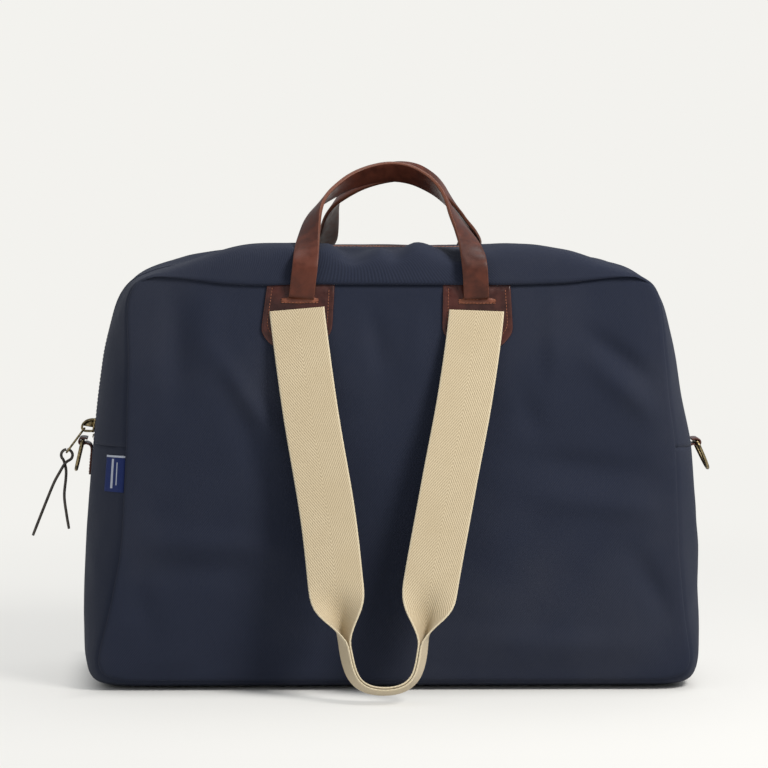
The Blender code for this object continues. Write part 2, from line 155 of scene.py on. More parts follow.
def strip_section(width, thick, edge):
    """A rounded flat section as (across, out) points, anticlockwise from its lower left."""
    half, deep = width / 2 - edge, thick / 2 - edge
    found = []
    for turn, (a, b) in enumerate(((half, -deep), (half, deep), (-half, deep), (-half, -deep))):
        for step in range(CORNER_STEPS + 1):
            angle = math.pi / 2 * (turn - 1 + step / CORNER_STEPS)
            found.append((a + edge * math.cos(angle), b + edge * math.sin(angle)))
        if turn in (1, 3):
            start, end = (half, -half) if turn == 1 else (-half, half)
            level = thick / 2 if turn == 1 else -thick / 2
            found += [(start + (end - start) * k / FACE_STEPS, level) for k in range(1, FACE_STEPS)]
    return np.array(found)


def sweep(name, path, across, section, closed_path=False):
    """A section, one for all or one for each point, carried along path. UV is (along, across) in metres."""
    path = np.asarray(path, float)
    if closed_path:
        looped = np.vstack([path[-1], path, path[0]])
        along = unit(looped[2:] - looped[:-2])
    else:
        along = tangents(path)
    across = np.broadcast_to(np.asarray(across, float), path.shape)
    across = unit(across - along * np.sum(across * along, axis=1, keepdims=True))
    out = np.cross(along, across)
    section = np.asarray(section, float)
    if section.ndim == 2:
        section = np.broadcast_to(section, (len(path), *section.shape))
    rows = path[:, None] + across[:, None] * section[..., :1] + out[:, None] * section[..., 1:]
    far = length_along(path)
    uvs = np.stack([np.broadcast_to(far[:, None], section.shape[:2]), section[..., 0]], axis=-1)
    if closed_path:
        rows = np.concatenate([rows, rows[:1]])
        uvs = np.concatenate([uvs, uvs[-1:] + (far[-1] / len(far), 0)])
    return grid_object(name, rows, wrap(uvs), closed=True, caps=not closed_path)


def round_section(radius, count, flat=1.0):
    angles = np.arange(count) * 2 * math.pi / count
    return np.stack([np.cos(angles) * radius, np.sin(angles) * radius * flat], axis=1)


def join_all(name, pieces):
    """Several mesh objects as one, keeping their materials."""
    first = pieces[0]
    with bpy.context.temp_override(active_object=first, selected_editable_objects=pieces):
        bpy.ops.object.join()
    first.name = name
    return first


def weld(piece):
    """Merges points that lie on each other."""
    work = bmesh.new()
    work.from_mesh(piece.data)
    bmesh.ops.remove_doubles(work, verts=work.verts, dist=1e-6)
    work.to_mesh(piece.data)
    work.free()


def thicken(piece, thickness, offset=-1):
    made = piece.modifiers.new("thickness", "SOLIDIFY")
    made.thickness = thickness
    made.offset = offset
    return piece


def stitches(name, spots, along, out, length=0.0026, thick=0.0008):
    """One capsule of thread at each spot, half sunk into what lies under it."""
    rings = ((-1.0, 0.1), (-0.8, 0.75), (-0.3, 1.0), (0.3, 1.0), (0.8, 0.75), (1.0, 0.1))
    points, faces = [], []
    for spot, forward, up in zip(np.asarray(spots), unit(along), unit(out)):
        side = np.cross(forward, up)
        base = len(points)
        for share, size in rings:
            for k in range(6):
                angle = math.pi * k / 3
                radial = side * math.cos(angle) * size + up * math.sin(angle) * size
                points.append(spot + forward * share * length / 2 + radial * thick / 2)
        faces += quads(len(rings), 6, base)
    return mesh_object(name, points, faces)


def stitch_line(name, path, out, pitch=0.0036, **sizes):
    path = np.asarray(path, float)
    far = length_along(path)
    places = np.arange(pitch / 2, far[-1], pitch)
    given = (path, tangents(path), np.broadcast_to(out, path.shape))
    return stitches(name, *(sampled(rows, far, places) for rows in given), **sizes)


def cover(piece, material):
    piece.data.materials.clear()
    piece.data.materials.append(material)


def finish(piece, material, slot, *nodes, body="bag"):
    """Gives a piece its material and the body it moves with, and hides the CAD nodes it stands for. slot is
    not used.
    """
    cover(piece, material)
    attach(piece, body)
    if nodes:
        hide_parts(*nodes)
    return piece


# ---- materials


def node(tree, kind, inputs=(), **settings):
    made = tree.nodes.new(kind)
    for key, value in settings.items():
        setattr(made, key, value)
    for key, value in dict(inputs).items():
        if isinstance(value, bpy.types.NodeSocket):
            tree.links.new(value, made.inputs[key])
        else:
            made.inputs[key].default_value = (*value, 1) if isinstance(value, tuple) else value
    return made


def calc(operation, *values):
    """The result of a math node on sockets and numbers, in the tree of the first socket."""
    tree = next(value for value in values if isinstance(value, bpy.types.NodeSocket)).id_data
    return node(tree, "ShaderNodeMath", dict(enumerate(values)), operation=operation).outputs[0]


def weighted(first, weight, second, other_weight):
    return calc("ADD", calc("MULTIPLY", first, weight), calc("MULTIPLY", second, other_weight))


def mixed(share, first, second):
    inputs = {0: share, 6: first, 7: second}
    return node(share.id_data, "ShaderNodeMix", inputs, data_type="RGBA").outputs[2]


def ramp(value, low, high, to_low=0, to_high=1.0):
    inputs = {"Value": value, "From Min": low, "From Max": high, "To Min": to_low, "To Max": to_high}
    return node(value.id_data, "ShaderNodeMapRange", inputs, interpolation_type="SMOOTHSTEP").outputs[0]


def lumps(place, scale, detail=3.0):
    inputs = {"Vector": place, "Scale": scale, "Detail": detail}
    return node(place.id_data, "ShaderNodeTexNoise", inputs).outputs["Fac"]


def ribs(along, across, along_pitch, across_pitch):
    """A wave from 0 to 1 that repeats after each pitch, in metres, of the two coordinates."""
    turns = calc("ADD", calc("DIVIDE", along, along_pitch), calc("DIVIDE", across, across_pitch))
    wave = calc("SINE", calc("MULTIPLY", turns, 2 * math.pi))
    return calc("MULTIPLY_ADD", wave, 0.5, 0.5)


def start_material(name, **values):
    """A material, its shader, its object coordinates and its two UV coordinates."""
    made = bpy.data.materials.new(name)
    made.use_nodes = True
    tree = made.node_tree
    shader = tree.nodes["Principled BSDF"]
    for key, value in values.items():
        shader.inputs[key.replace("_", " ")].default_value = value
    place = node(tree, "ShaderNodeTexCoord").outputs["Object"]
    uv = node(tree, "ShaderNodeSeparateXYZ", {0: node(tree, "ShaderNodeUVMap", uv_map="UVMap").outputs[0]})
    return made, shader, place, uv.outputs[0], uv.outputs[1]


def wire(shader, color, roughness, height, depth, strength=0.6):
    tree = shader.id_data
    tree.links.new(color, shader.inputs["Base Color"])
    if roughness:
        tree.links.new(roughness, shader.inputs["Roughness"])
    bump = node(tree, "ShaderNodeBump", {"Height": height, "Strength": strength, "Distance": depth})
    tree.links.new(bump.outputs[0], shader.inputs["Normal"])


def canvas_material():
    made, shader, place, u, v = start_material(
        "navy_twill", Roughness=0.82, Sheen_Weight=0.03, Sheen_Roughness=0.5, Sheen_Tint=(0.55, 0.62, 0.8, 1),
        Specular_IOR_Level=0.22)
    twill = ribs(u, v, 0.0021, 0.0013)
    yarns = ribs(u, v, 0.0009, 0.05)
    slubs = lumps(place, 900, 2)
    cloud = lumps(place, 7, 4)
    thread = weighted(twill, 0.6, slubs, 0.4)
    base = mixed(thread, (0.0065, 0.0092, 0.02), (0.0155, 0.0205, 0.04))
    faded = mixed(ramp(cloud, 0.42, 0.72, 0, 0.8), base, (0.019, 0.0225, 0.037))
    wire(shader, faded, ramp(slubs, 0.3, 0.7, 0.76, 0.9), weighted(twill, 0.7, yarns, 0.3), 0.00025, 0.55)
    return made


def leather_material(name, dark, light, edge, edge_width, rough_low, rough_high, shine=0.32):
    """Waxed leather. Its second UV coordinate is the distance from the cut edge, in metres."""
    made, shader, place, _, inward = start_material(name, Specular_IOR_Level=shine, Coat_Weight=0.04,
                                                    Coat_Roughness=0.3)
    cloud = lumps(place, 26, 5)
    pull_up = lumps(place, 160, 4)
    body = mixed(ramp(weighted(cloud, 0.65, pull_up, 0.35), 0.36, 0.64), dark, light)
    rim = ramp(inward, edge_width, edge_width * 0.45)
    color = mixed(calc("MULTIPLY", rim, 0.7), body, edge)
    cells = node(place.id_data, "ShaderNodeTexVoronoi", {"Vector": place, "Scale": 1500}).outputs["Distance"]
    grain = weighted(cells, 0.6, lumps(place, 420), 0.8)
    wire(shader, color, ramp(pull_up, 0.3, 0.7, rough_low, rough_high), grain, 0.00012, 0.35)
    return made


def webbing_material():
    made, shader, place, u, v = start_material(
        "beige_twill_webbing", Roughness=0.8, Sheen_Weight=0.15, Sheen_Roughness=0.5)
    twill = ribs(u, calc("ABSOLUTE", v), 0.0034, 0.0021)
    rows = ribs(u, v, 1.0, 0.0019)
    # Painted highlight: both edges of the webbing are painted lighter along the whole strap, standing in for
    # light caught by the edges.
    painted_edge_highlight = ramp(calc("ABSOLUTE", v), 0.0224, 0.0232)
    pattern = weighted(twill, 0.8, rows, 0.2)
    body = mixed(pattern, (0.345, 0.272, 0.165), (0.6, 0.5, 0.335))
    aged = mixed(ramp(lumps(place, 30), 0.35, 0.7, 0, 0.35), body, (0.44, 0.35, 0.215))
    # Lays the painted edge highlight over the webbing's colour.
    color = mixed(calc("MULTIPLY", painted_edge_highlight, 0.6), aged, (0.64, 0.56, 0.4))
    wire(shader, color, None, pattern, 0.0004)
    return made


def brass_material():
    made, shader, place, *_ = start_material("antique_brass_worn", Metallic=1.0)
    patina = lumps(place, 260, 5)
    color = mixed(ramp(patina, 0.36, 0.62), (0.085, 0.068, 0.04), (0.33, 0.262, 0.14))
    wire(shader, color, ramp(patina, 0.3, 0.7, 0.46, 0.26), lumps(place, 1200), 0.00008, 0.3)
    return made


def ribbed_material(name, dark, light, pitch, roughness):
    """A plain woven cloth, with a rib after each pitch in both directions."""
    made, shader, place, u, v = start_material(name, Roughness=roughness)
    weave = calc("MULTIPLY", ribs(u, v, pitch, 1.0), ribs(u, v, 1.0, pitch))
    tone = weighted(weave, 0.6, lumps(place, 120), 0.4)
    wire(shader, mixed(tone, dark, light), None, weave, 0.00025)
    return made


def label_material(half_width, height):
    """Blue satin weave with a pale line along its top and two plain stripes. It carries no lettering."""
    made, shader, _, u, v = start_material("blue_label_weave", Roughness=0.7, Specular_IOR_Level=0.15)
    weave = ribs(u, v, 0.0009, 0.0006)
    blue = mixed(weave, (0.0075, 0.015, 0.07), (0.013, 0.027, 0.125))
    pale = ramp(v, height / 2 - 0.0023, height / 2 - 0.0018)
    for middle, half, reach in ((half_width * 0.1, 0.0011, 0.4), (-half_width * 0.42, 0.0004, 0.31)):
        stripe = ramp(calc("ABSOLUTE", calc("SUBTRACT", u, middle)), half + 0.0002, half)
        ends = ramp(calc("ABSOLUTE", v), height * reach, height * reach - 0.0003)
        pale = calc("MAXIMUM", pale, calc("MULTIPLY", calc("MULTIPLY", stripe, ends), 0.75))
    wire(shader, mixed(pale, blue, (0.5, 0.53, 0.6)), None, weave, 0.0001)
    return made


def lace_material():
    made, shader, place, *_ = start_material("lace_thong_leather", Roughness=0.6)
    tone = lumps(place, 220, 4)
    color = mixed(ramp(tone, 0.35, 0.65), (0.024, 0.02, 0.016), (0.07, 0.058, 0.046))
    wire(shader, color, ramp(tone, 0.3, 0.7, 0.5, 0.7), lumps(place, 900), 0.0002, 0.5)
    return made


canvas = canvas_material()
handle_leather = leather_material("handle_bridle_leather", (0.04, 0.0112, 0.0068), (0.09, 0.024, 0.013),
                                  (0.135, 0.05, 0.028), 0.0006, 0.34, 0.5, 0.2)
patch_leather = leather_material("patch_waxed_leather", (0.024, 0.0064, 0.005), (0.056, 0.012, 0.0078),
                                 (0.08, 0.023, 0.013), 0.0009, 0.26, 0.46)
tack_leather = leather_material("tack_orange_leather", (0.085, 0.022, 0.011), (0.2, 0.062, 0.03),
                                (0.26, 0.095, 0.048), 0.0004, 0.34, 0.5)
webbing = webbing_material()
brass = brass_material()
lace_leather = lace_material()
thread = ribbed_material("orange_brown_thread", (0.19, 0.055, 0.025), (0.34, 0.12, 0.056), 0.0008, 0.6)
navy_thread = ribbed_material("navy_thread", (0.01, 0.013, 0.024), (0.022, 0.028, 0.048), 0.0008, 0.6)
tape_cloth = ribbed_material("brown_zip_tape", (0.11, 0.038, 0.022), (0.235, 0.085, 0.048), 0.001, 0.75)
lining_cloth = ribbed_material("natural_cotton", (0.33, 0.305, 0.25), (0.52, 0.49, 0.42), 0.0011, 0.88)
board_felt = ribbed_material("grey_brown_board", (0.05, 0.042, 0.034), (0.11, 0.094, 0.078), 0.004, 0.75)


# ---- canvas shell

# Matched points of one half, from the middle of the base to the middle of the top, as (x, z): at the middle
# of the bag's depth, and at its front and back seams.
MIDDLE = np.array([(0, 0), (0.245, 0), (0.268, 0.0035), (0.2745, 0.018), (0.2763, 0.07), (0.2745, 0.123),
                   (0.2676, 0.213), (0.2552, 0.299), (0.2447, 0.3395), (0.234, 0.357), (0.208, 0.3715),
                   (0.168, 0.3825), (0.12, 0.3915), (0.06, 0.3932), (0, 0.393)])
SEAM = np.array([(0, 0.008), (0.235, 0.008), (0.256, 0.011), (0.264, 0.022), (0.2543, 0.07), (0.2466, 0.123),
                 (0.2423, 0.215), (0.237, 0.299), (0.236, 0.34), (0.23, 0.3585), (0.213, 0.3675),
                 (0.19, 0.3675), (0.15, 0.3625), (0.1, 0.3605), (0, 0.3605)])
ZIP_KNOT = 6  # the point of both tables where the zip ends
COUNT = 220  # places round each half outline
SEAM_DEPTH = 0.0917
CANVAS = 0.0013
SLOT = 0.0125  # half the gap between the zip gussets, which the tapes cross
GROOVE = 0.002  # how far the canvas dips into its seams
OVERHANG = 0.0075  # how far the top rolls out over its seams

reach = length_along(MIDDLE)
knot_at = np.interp(np.linspace(0, reach[-1], COUNT), reach, np.arange(len(MIDDLE)))
zip_end = int(np.argmin(np.abs(knot_at - ZIP_KNOT)))


def half_outline(table):
    """The table's line at COUNT places, with its corners softened."""
    raw = sampled(table, np.arange(len(table)), knot_at)
    spread, softness = 8, 2.2
    other = raw * (-1, 1)
    padded = np.vstack([other[spread:0:-1], raw, other[-2:-spread - 2:-1]])
    weights = np.exp(-0.5 * (np.arange(-spread, spread + 1) / softness) ** 2)
    return np.stack([np.convolve(padded[:, k], weights / weights.sum(), "valid") for k in (0, 1)], axis=1)


middle_half, seam_half = half_outline(MIDDLE), half_outline(SEAM)
slope = np.gradient(middle_half, axis=0)
outward = unit(np.stack([slope[:, 1], -slope[:, 0]], axis=1))
fullness = np.interp(knot_at, [0, 2, 4, 8.5, 10, 11.5, 14], [8, 8, 3.5, 3.5, 6, 14, 15])
top_share = ease(knot_at, 10, 12)
rolled = ease(knot_at, 8.4, 10.5)
off_floor = ease(knot_at, 2, 4)

# Where the front edge of the top stands up and sags, as (x, height).
FRONT_CREST = np.array([(-0.25, 0.002), (-0.19, 0.0055), (-0.135, 0.008), (-0.1, 0.0065), (-0.0622, 0.0055),
                        (-0.0385, -0.0085), (-0.0131, -0.001), (-0.0026, -0.005), (0.0184, 0.0038),
                        (0.05, -0.006), (0.075, 0.0035), (0.105, 0.0055), (0.15, 0.006), (0.19, 0.002),
                        (0.25, 0.001)])
BACK_CREST = np.array([(-0.25, 0), (-0.17, 0), (-0.09, -0.006), (-0.03, -0.004), (0.02, -0.009),
                       (0.06, -0.004), (0.12, 0), (0.18, -0.003), (0.25, 0)])
LEGS = ((-0.079, 0.066), (-0.056, 0.08))  # x of the front and back handle's legs, which press the top down
LEG_PRESS, LEG_REACH = 0.0052, 0.015


def crest(table, x):
    """A smooth line through the table's heights."""
    spot = np.clip(np.searchsorted(table[:, 0], x) - 1, 0, len(table) - 2)
    (x0, low), (x1, high) = table[spot].T, table[spot + 1].T
    return low + (high - low) * ease(x, x0, x1)


def lean(points):
    """Moves the front a little to the right at half its height, and the whole top to the left."""
    x, y, z = (points[..., k] for k in range(3))
    x += 0.005 * ease(-y, 0.02, SEAM_DEPTH) * ease(z, 0, 0.15) * ease(z, 0.37, 0.26)
    shift = 0.002 + 0.002 * ease(x, 0.12, 0.2)
    x -= shift * ease(z, 0.21, 0.27) * (1 - 0.9 * ease(z, 0.345, 0.375))
    return points


def top_height(x, depth):
    """How far the top stands up at x and depth, between its seams."""
    level = abs(depth)
    roof = 0.003 * ease(level, 0.035, 0.075) - 0.003 - 0.0018 * ease(level, 0.002, SLOT)
    roof += 0.0018 * ease(level, 0.078, SEAM_DEPTH)
    wave = crest(FRONT_CREST if depth < 0 else BACK_CREST, x) * ease(level, 0.03, 0.078)
    wave *= ease(level, SEAM_DEPTH, 0.0815)
    for leg in LEGS[depth > 0]:
        wave -= (LEG_PRESS * np.exp(-((x - leg) / LEG_REACH) ** 2) * ease(level, 0.058, 0.074) *
                 ease(level, 0.086, 0.078))
    return roof + wave


def shell_rows(index, side, depths, seed, dent=0):
    """A row of points on the canvas round the bag for each depth. side is -1 or 1 for each place in index."""
    rows = []
    for depth in depths:
        level = abs(depth)
        share = (1 - (level / SEAM_DEPTH) ** fullness[index])[:, None]
        flat = seam_half[index] + (middle_half[index] - seam_half[index]) * share
        points = np.stack([flat[:, 0] * side, np.full(len(index), float(depth)), flat[:, 1]], axis=1)
        x, y, z = points.T
        push = top_share[index] * top_height(x, depth) - GROOVE * ease(SEAM_DEPTH - level, 0.0035, 0) - dent
        free = off_floor[index] * ease(SEAM_DEPTH - level, 0, 0.02) * (0.2 + 0.8 * ease(level, 0.01, 0.04))
        free *= 1 - 0.8 * ease(z, 0.14, 0.18) * ease(z, 0.28, 0.24)
        push += free * (rough(points, 0.075, seed, 0.0022) + rough(points, 0.028, seed + 1, 0.001))
        x += push * outward[index, 0] * side
        z += push * outward[index, 1]
        roll = rolled[index] * ease(level, 0.066, 0.0885) * ease(level, SEAM_DEPTH, 0.0912)
        y += np.sign(depth) * OVERHANG * roll
        z -= 0.0022 * top_share[index] * ease(level, 0.086, 0.0905) * ease(level, SEAM_DEPTH, 0.0914)
        sag = ease(x, -0.24, -0.185) * ease(x, -0.08, -0.125) * ease(z, 0.33, 0.36)
        z -= sag * (0.002 + 0.003 * ease(level, 0.06, 0.02))
        rows.append(points)
    rows = lean(np.array(rows))
    rows[..., 2] = np.maximum(rows[..., 2], 0)
    return rows


def cloth_uv(rows):
    """UV in metres: along the middle row, and the depth."""
    along = np.broadcast_to(length_along(rows[len(rows) // 2]), rows.shape[:2])
    return np.stack([along, rows[..., 1]], axis=-1)


def there_and_back(places):
    """The places of the left half, then those of the right half in reverse, and the side of each."""
    return (np.concatenate([places, places[-2::-1]]),
            np.concatenate([-np.ones(len(places)), np.ones(len(places) - 1)]))


def sine_depths(start, end, count):
    turns = np.linspace(math.asin(start / SEAM_DEPTH), math.asin(end / SEAM_DEPTH), count)
    return SEAM_DEPTH * np.sin(turns)


top_index, top_side = there_and_back(np.arange(zip_end, COUNT))
base_index, base_side = (row[::-1] for row in there_and_back(np.arange(zip_end, -1, -1)))
top_up = np.insert(outward[top_index] * np.stack([top_side, np.ones(len(top_side))], axis=1), 1, 0, axis=1)
FACES = (("front", -1), ("back", 1))

rows = shell_rows(base_index, base_side, sine_depths(-SEAM_DEPTH, SEAM_DEPTH, 61), 11)
side_line = rows[len(rows) // 2]
lower = thicken(grid_object("canvas_lower_gusset", rows, cloth_uv(rows)), CANVAS)
finish(lower, canvas, "navy_canvas", "lower_gusset")

for name, sign in FACES:
    seed = 21 + sign
    turned_in = shell_rows(top_index, top_side, [sign * (SLOT - 0.0004)], seed, 0.0016)
    rows = shell_rows(top_index, top_side, sine_depths(sign * SEAM_DEPTH, sign * SLOT, 34), seed)
    rows = np.concatenate([rows, turned_in])[::-sign]
    piece = thicken(grid_object(f"canvas_zip_gusset_{name}", rows, cloth_uv(rows)), CANVAS)
    finish(piece, canvas, "navy_canvas", f"zip_gusset_{name}")

    edge = shell_rows(top_index, top_side, [sign * (SLOT + 0.0022)], seed)[0]
    finish(stitch_line(f"zip_edge_stitches_{name}", edge, top_up), navy_thread, "navy_canvas")

    rows = shell_rows(top_index, top_side, np.linspace(SLOT + 0.002, 0.003, 8) * sign, seed, 0.0013)[::-sign]
    tape = thicken(grid_object(f"zip_tape_cloth_{name}", rows, cloth_uv(rows)), 0.0007)
    finish(tape, tape_cloth, "zip_tape", f"zip_tape_{name}")


# A tooth's levels, as (place of its root, half its width, place of its tip, height).
TOOTH = ((0.0042, 0.00075, -0.001, -0.0009), (0.004, 0.00065, -0.001, 0.0011),
         (0.0034, 0.0004, -0.0004, 0.0016))


def zip_teeth(name, sign, pitch=0.0026):
    """A row of brass teeth, each of them reaching past the middle between two of the other side's."""
    line = shell_rows(top_index, top_side, [0], 21 + sign, 0.0031)[0]
    far = length_along(line)
    places = np.arange(0.006 + (0 if sign < 0 else pitch / 2), far[-1] - 0.006, pitch)
    points, faces = [], []
    for spot, out, along in zip(*(sampled(row, far, places) for row in (line, top_up, tangents(line)))):
        base = len(points)
        for root, half, tip, tall in TOOTH:
            for y, x in ((root, -half), (root, half), (tip, half), (tip, -half)):
                points.append(spot + out * tall + along * x + np.array((0, sign * y, 0)))
        ends = [tuple(base + k for k in cap) for cap in ((3, 2, 1, 0), (8, 9, 10, 11))]
        faces += [face[::sign] for face in (*quads(len(TOOTH), 4, base), *ends)]
    return mesh_object(name, points, faces, smooth=False)


for name, sign in FACES:
    finish(zip_teeth(f"zip_chain_{name}", sign), brass, "antique_brass", f"zip_teeth_{name}")


# Soft folds of the front panel, as (x, z) of both ends, half width, and height out of the panel.
FOLDS = ((-0.191, 0.351, -0.197, 0.256, 0.011, -0.0024), (-0.163, 0.349, -0.168, 0.27, 0.013, 0.0018),
         (-0.159, 0.299, -0.112, 0.225, 0.01, 0.0022), (-0.15, 0.262, -0.118, 0.18, 0.012, -0.0016),
         (-0.25, 0.136, -0.095, 0.126, 0.013, 0.0018), (-0.235, 0.108, -0.12, 0.104, 0.012, -0.0014),
         (-0.03, 0.345, -0.012, 0.28, 0.012, -0.0016), (0.028, 0.345, 0.012, 0.27, 0.014, 0.0016),
         (0.148, 0.351, 0.108, 0.239, 0.026, 0.0024), (0.169, 0.317, 0.232, 0.268, 0.008, -0.0026),
         (0.172, 0.29, 0.236, 0.236, 0.01, 0.0022), (0.11, 0.205, 0.225, 0.19, 0.014, -0.002),
         (0.12, 0.172, 0.235, 0.16, 0.012, 0.0016), (0.205, 0.122, 0.252, 0.055, 0.011, -0.0024),
         (0.06, 0.046, 0.215, 0.04, 0.012, 0.0016), (-0.215, 0.052, -0.242, 0.11, 0.012, -0.002),
         (0.1, 0.3, 0.118, 0.225, 0.01, -0.0016))
FOLD_GAIN = 2.0


def folds(points, mirror):
    """How far the folds push each point out."""
    x, z = points[..., 0] * mirror, points[..., 2]
    total = np.zeros_like(x)
    for x0, z0, x1, z1, width, height in FOLDS:
        run, rise = x1 - x0, z1 - z0
        share = np.clip(((x - x0) * run + (z - z0) * rise) / (run * run + rise * rise), 0, 1)
        apart = np.hypot(x - x0 - run * share, z - z0 - rise * share)
        total += FOLD_GAIN * height * np.exp(-(apart / width) ** 2) * (0.35 + 0.65 * np.sin(math.pi * share))
    return total


def panel_rows(sign):
    """Rings of points from the seam to the middle of the front or back panel."""
    index = np.concatenate([np.arange(COUNT), np.arange(COUNT - 2, 0, -1)])
    side = np.concatenate([np.ones(COUNT), -np.ones(COUNT - 2)])
    line = np.stack([seam_half[index, 0] * side, seam_half[index, 1]], axis=1)
    out = np.stack([outward[index, 0] * side, outward[index, 1]], axis=1)
    rings = [np.insert(line - out * inset, 1, sign * depth, axis=1)
             for inset, depth in ((GROOVE, SEAM_DEPTH), (0.001, 0.0926), (0.0013, 0.0938), (0.0028, 0.0946))]
    rim, centre = line - out * 0.005, np.array((0, 0.185))
    panel_out, bulge = 0.095, 0.0022
    for share in 1 - np.linspace(0, 1, 44)[:-1] ** 0.9:
        flat = centre + (rim - centre) * share
        ring = np.insert(flat, 1, sign * (panel_out + bulge * (1 - share ** 4)), axis=1)
        calm = ease(1 - share, 0, 0.1)
        near_patch = ease(ring[:, 2], 0.24, 0.29) * ease(np.abs(np.abs(ring[:, 0]) - 0.0785), 0.06, 0.044)
        bumps = rough(ring, 0.11, 5 + sign, 0.003) + rough(ring, 0.04, 6 + sign, 0.0014) + folds(ring, -sign)
        ring[:, 1] += sign * calm * bumps * (1 - near_patch)
        rings.append(ring)
    rings.append(np.tile(rings[-1].mean(axis=0), (len(index), 1)))
    return lean(np.array(rings))


skins = {}
for name, sign in FACES:
    rings = panel_rows(sign)[:, ::-sign]
    piece = grid_object(f"canvas_{name}_panel", rings, wrap(rings)[..., [0, 2]], closed=True)
    weld(piece)
    skins[sign] = rings.reshape(-1, 3)
    finish(thicken(piece, CANVAS), canvas, "navy_canvas", f"{name}_panel")


def skin(x, z, sign):
    """How far out the front or back panel stands at x and z."""
    apart = np.hypot(skins[sign][:, 0] - x, skins[sign][:, 2] - z)
    near = np.argpartition(apart, 6)[:6]
    weights = 1 / (apart[near] + 1e-4)
    return abs(np.sum(skins[sign][near, 1] * weights) / weights.sum())


# ---- leather and webbing of the front and back


def distance_uv(piece, half):
    """Turns the second UV coordinate from a place across a strip into the distance from its nearer edge."""
    layer = piece.data.uv_layers["UVMap"].data
    values = np.zeros(len(layer) * 2, np.float32)
    layer.foreach_get("uv", values)
    values[1::2] = np.maximum(half - np.abs(values[1::2]), 0)
    layer.foreach_set("uv", values)
    return piece


# Centre line of the front handle, as (x, z), from its left foot to its right one.
HANDLE_LINE = ((-0.084, 0.3465), (-0.0815, 0.37), (-0.0793, 0.3887), (-0.0768, 0.402), (-0.0725, 0.4173),
               (-0.0655, 0.4282), (-0.0545, 0.4372), (-0.038, 0.4468), (-0.0194, 0.453), (-0.0015, 0.4553),
               (0.0163, 0.4526), (0.033, 0.444), (0.0435, 0.434), (0.0495, 0.4245), (0.054, 0.414),
               (0.06, 0.402), (0.0648, 0.3887), (0.0672, 0.37), (0.0688, 0.3465))
HANDLE_WIDTH, HANDLE_THICK = 0.022, 0.0034
HANDLE_RAISED = (0.362, 0.392)  # it leaves the bag between these heights
BEND_Z, TOP_Z, BEND_Y, TOP_Y, FOOT_Y = 0.377, 0.4553, -0.1055, -0.012, -0.0996


def handle(name, sign):
    line = smooth_curve([(x, 0, z) for x, z in HANDLE_LINE], 8)
    height = np.clip((line[:, 2] - BEND_Z) / (TOP_Z - BEND_Z), 0, 1)
    low = ease(line[:, 2], 0.346, BEND_Z)
    foot, arch = FOOT_Y + (BEND_Y - FOOT_Y) * low, BEND_Y + (TOP_Y - BEND_Y) * height
    line[:, 1] = np.where(line[:, 2] < BEND_Z, foot, arch)
    for _ in range(12):
        line[1:-1, 1] = (line[:-2, 1] + 2 * line[1:-1, 1] + line[2:, 1]) / 4
    if sign > 0:
        raised, high = ease(line[:, 2], *HANDLE_RAISED), ease(line[:, 2], 0.392, 0.452)
        line[:, 0] = line[:, 0] * (1 - 0.07 * raised) + 0.0178 * raised - 0.0075 * high
    tilt = unit([0, TOP_Y - BEND_Y, TOP_Z - BEND_Z])
    share = ease(line[:, 2], *HANDLE_RAISED)[:, None]
    forward = unit(np.array((0, -1, 0)) * (1 - share) + np.array((0, -tilt[2], tilt[1])) * share)
    along = tangents(line)
    top = int(np.argmax(line[:, 2]))
    far = length_along(line)
    start, end = far[line[:, 2] > BEND_Z][[0, -1]]
    rising, falling = (far - start) / (far[top] - start), (end - far) / (end - far[top])
    share = np.where(np.arange(len(line)) < top, rising, falling)
    twist = math.pi / 2 * (1 - np.clip(share, 0, 1)) ** 1.7
    inner = unit(np.cross(along, forward))
    across = inner * np.sin(twist)[:, None] + forward * np.cos(twist)[:, None]
    line, across = line * (1, -sign, 1), across * (1, -sign, 1)
    piece = sweep(f"leather_handle_{name}", line, across, strip_section(HANDLE_WIDTH, HANDLE_THICK, 0.0009))
    distance_uv(piece, HANDLE_WIDTH / 2)
    finish(piece, handle_leather, "handle_leather", f"handle_{name}", body=f"handle_{name}")


# Each patch, as (x of its middle at the top, and at the bottom), for the left and right one of the front.
PATCH_MIDDLES = ((-0.084, -0.0894), (0.0692, 0.0706))
PATCH_TOP, PATCH_LOW, PATCH_THICK = 0.361, 0.3045, 0.0021
PATCH_RIM = 0.0095  # inside this distance from its edge, a patch's rings shrink towards its middle
TACK_HALF = 0.0026


def patch_line(top_x, low_x, inset):
    """The outline of a patch as (x, z), anticlockwise from its upper left, drawn in by inset."""
    half_top, half_low = 0.0293 - inset, 0.031 - inset
    high, low, cut = PATCH_TOP - inset, PATCH_LOW + inset, 0.012
    corners = [(-half_top, high, 0.001), (-half_low, low + cut, 0.006), (-half_low + cut * 0.85, low, 0.005),
               (half_low - cut * 0.85, low, 0.005), (half_low, low + cut, 0.006), (half_top, high, 0.001)]
    found = []
    for number, (x, z, radius) in enumerate(corners):
        here = np.array((x, z))
        back, on = (unit(np.array(corners[(number + k) % 6][:2]) - here) * radius for k in (-1, 1))
        found += [here + back * (1 - t) ** 2 + on * t * t for t in np.linspace(0, 1, 5)]
    path = np.array(found)
    path[:, 0] += top_x + (low_x - top_x) * (PATCH_TOP - path[:, 1]) / (PATCH_TOP - PATCH_LOW)
    looped = np.vstack([path, path[:1]])
    far = length_along(looped)
    places = np.linspace(0, far[-1], 120, endpoint=False)
    return sampled(looped, far, places)


def on_skin(flat, out, sign):
    """Points at (x, z), standing that far out of the front or back panel."""
    return np.array([(x, sign * (skin(x, z, sign) + out), z) for x, z in flat])


